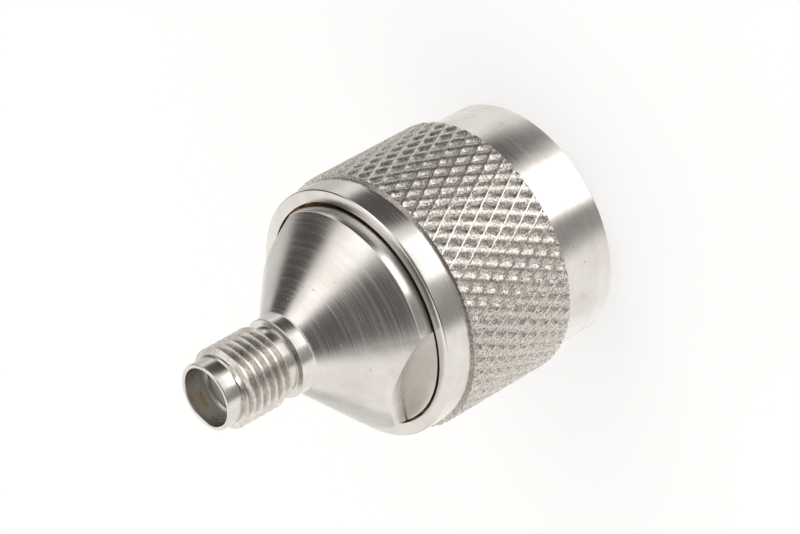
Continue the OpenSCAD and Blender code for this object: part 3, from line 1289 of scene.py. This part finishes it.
@dataclass
class Studio:
    """Floor, soft light and camera."""

    level: float = 1.36
    panels: Sequence[Panel] = (
        Panel(azimuth=-160, elevation=-15, width=60, height=50, level=0.85),
        Panel(azimuth=-100, elevation=-9, width=60, height=32, level=0.9),
        Panel(azimuth=31, elevation=-22, width=36, height=84, level=0.4),
        Panel(azimuth=51, elevation=56, width=74, height=44, level=0.09),
        Panel(azimuth=66, elevation=-2, width=70, height=44, level=0.8),
        Panel(azimuth=130, elevation=-26, width=48, height=52, level=0.1, soft=0.25),
        Panel(azimuth=177, elevation=17, width=50, height=44, level=0.11),
        Panel(azimuth=45, elevation=-86, width=40, height=40, level=0.06),
        Panel(azimuth=74, elevation=-40, width=34, height=38, level=3.2, soft=0.2, outline=Outline.SQUARE),
        Panel(azimuth=140, elevation=-66, width=50, height=22, level=1.3),
        Panel(azimuth=134, elevation=44, width=30, height=40, level=1.55),
    )
    camera_place: Sequence[float] = (107.14, 191.50, 159.53)
    camera_right: Sequence[float] = (0.6638, 0.1842, -0.7249)
    camera_up: Sequence[float] = (-0.6257, 0.6677, -0.4033)
    lens: float = 157.5
    floor_r: float = 6.0
    # Strength and share of the floor's own glow, which only the camera sees
    glow: float = 1.08
    glow_share: float = 0.6
    # How hard a panel is kept from showing on the far side of the studio too
    far_side: float = 20.0
    lamp_energy: float = 0.12
    lamp_deg: float = 35.0
    # Azimuth and elevation
    lamp_from: Sequence[float] = (128.0, 50.0)

    def build(self) -> None:
        """Builds the floor, the world, the lamp and the camera."""
        self.floor()
        self.world()
        self.lamp()
        self.camera()

    def floor(self) -> None:
        """Lays a plain white floor that metal sees through to the studio's lower panels."""
        bm = bmesh.new()
        bmesh.ops.create_circle(bm, cap_ends=True, radius=self.floor_r, segments=96)
        floor = add_object("studio_floor", bm)
        material, tree = new_material("white_paper_sweep")
        path = add_node(tree, "ShaderNodeLightPath")
        paper = add_node(
            tree, "ShaderNodeBsdfDiffuse", values={"Color": linear("f4f3f1"), "Roughness": 0.5}
        )
        glow = add_node(
            tree, "ShaderNodeEmission", values={"Color": linear("ffffff"), "Strength": self.glow}
        )
        seen = add_node(
            tree,
            "ShaderNodeMixShader",
            values={0: self.glow_share},
            links={1: paper.outputs[0], 2: glow.outputs[0]},
        )
        plain = add_node(
            tree,
            "ShaderNodeMixShader",
            links={
                0: path.outputs["Is Camera Ray"],
                1: paper.outputs[0],
                2: seen.outputs[0],
            },
        )
        clear = add_node(tree, "ShaderNodeBsdfTransparent")
        whole = add_node(
            tree,
            "ShaderNodeMixShader",
            links={0: path.outputs["Is Glossy Ray"], 1: plain.outputs[0], 2: clear.outputs[0]},
        )
        add_node(tree, "ShaderNodeOutputMaterial", links={"Surface": whole.outputs[0]})
        floor.data.materials.append(material)

    def panel_mask(
        self, tree: bpy.types.NodeTree, ray: bpy.types.NodeSocket, panel: Panel
    ) -> bpy.types.NodeSocket:
        """Where the studio shows one panel.

        Args:
            tree: The world's node tree.
            ray: The direction that is looked in.
            panel: The panel.

        Returns:
            1 inside the panel, 0 outside it.
        """
        ahead = direction(panel.azimuth, panel.elevation)
        side = ahead.cross(AXIS).normalized()
        rise = side.cross(ahead)
        spans = (
            side / math.sin(math.radians(panel.width / 2)),
            rise / math.sin(math.radians(panel.height / 2)),
            ahead * -self.far_side,
        )
        dots = [
            add_node(
                tree, "ShaderNodeVectorMath", {"operation": "DOT_PRODUCT"}, {1: span}, {0: ray}
            ).outputs["Value"]
            for span in spans
        ]
        behind = add_node(tree, "ShaderNodeMath", {"operation": "MAXIMUM"}, {1: 0.0}, {0: dots[2]})
        if panel.outline is Outline.SQUARE:
            sizes = [
                add_node(tree, "ShaderNodeMath", {"operation": "ABSOLUTE"}, links={0: dot}).outputs[0]
                for dot in dots[:2]
            ]
            larger = add_node(
                tree, "ShaderNodeMath", {"operation": "MAXIMUM"}, links={0: sizes[0], 1: sizes[1]}
            )
            across = {0: larger.outputs[0]}
        else:
            across = {0: dots[0], 1: dots[1]}
        joined = add_node(tree, "ShaderNodeCombineXYZ", links={**across, 2: behind.outputs[0]})
        reach = add_node(
            tree, "ShaderNodeVectorMath", {"operation": "LENGTH"}, links={0: joined.outputs[0]}
        )
        mask = add_node(
            tree,
            "ShaderNodeMapRange",
            {"interpolation_type": "SMOOTHSTEP"},
            {"From Min": 1 - panel.soft, "From Max": 1 + panel.soft, "To Min": 1.0, "To Max": 0.0},
            {"Value": reach.outputs["Value"]},
        )
        return mask.outputs["Result"]

    def world(self) -> None:
        """Lights the object with an even room, its softboxes and its flags."""
        world = bpy.data.worlds.new("white_studio")
        bpy.context.scene.world = world
        world.use_nodes = True
        tree = world.node_tree
        tree.nodes.clear()
        ray = add_node(tree, "ShaderNodeTexCoord").outputs["Generated"]
        level = add_node(tree, "ShaderNodeValue")
        level.outputs[0].default_value = self.level
        light = level.outputs[0]
        for panel in self.panels:
            mask = self.panel_mask(tree, ray, panel)
            light = add_node(
                tree,
                "ShaderNodeMix",
                {"data_type": "FLOAT"},
                {3: panel.level},
                {0: mask, 2: light},
            ).outputs[0]
        path = add_node(tree, "ShaderNodeLightPath")
        room = add_node(
            tree,
            "ShaderNodeBackground",
            values={"Color": linear("fffdfa")},
            links={"Strength": light},
        )
        plain = add_node(
            tree, "ShaderNodeBackground", values={"Color": linear("ffffff"), "Strength": 1.0}
        )
        whole = add_node(
            tree,
            "ShaderNodeMixShader",
            links={0: path.outputs["Is Camera Ray"], 1: room.outputs[0], 2: plain.outputs[0]},
        )
        add_node(tree, "ShaderNodeOutputWorld", links={"Surface": whole.outputs[0]})

    def lamp(self) -> None:
        """Adds one wide soft lamp, which gives the floor a faint shadow."""
        data = bpy.data.lights.new("soft_key", "SUN")
        data.energy = self.lamp_energy
        data.angle = math.radians(self.lamp_deg)
        lamp = bpy.data.objects.new("soft_key", data)
        lamp.rotation_euler = direction(*self.lamp_from).to_track_quat("Z", "Y").to_euler()
        bpy.context.scene.collection.objects.link(lamp)

    def camera(self) -> None:
        """Places the camera and makes it the scene's."""
        data = bpy.data.cameras.new("studio_camera")
        data.lens = self.lens
        data.sensor_width = 36.0
        data.clip_start, data.clip_end = 0.01, 20.0
        right, up = Vector(self.camera_right), Vector(self.camera_up)
        turned = Matrix((right, up, right.cross(up))).transposed().to_4x4()
        camera = bpy.data.objects.new("studio_camera", data)
        camera.matrix_world = Matrix.Translation(Vector(self.camera_place) * MM) @ turned
        bpy.context.scene.collection.objects.link(camera)
        bpy.context.scene.camera = camera
        bpy.context.scene.view_settings.view_transform = "Standard"


# ---------------------------------------------------------------- main


def main() -> None:
    """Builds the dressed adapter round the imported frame."""
    logging.basicConfig(level=logging.INFO, format="%(name)s: %(message)s")
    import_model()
    finishes = Finishes()
    CouplingNut(finishes).build()
    RetainingRing(finishes).build()
    AdapterShell(finishes).build()
    PlugFront(finishes).build()
    JackCentre(finishes).build()
    Studio().build()


if __name__ == "__main__":
    main()
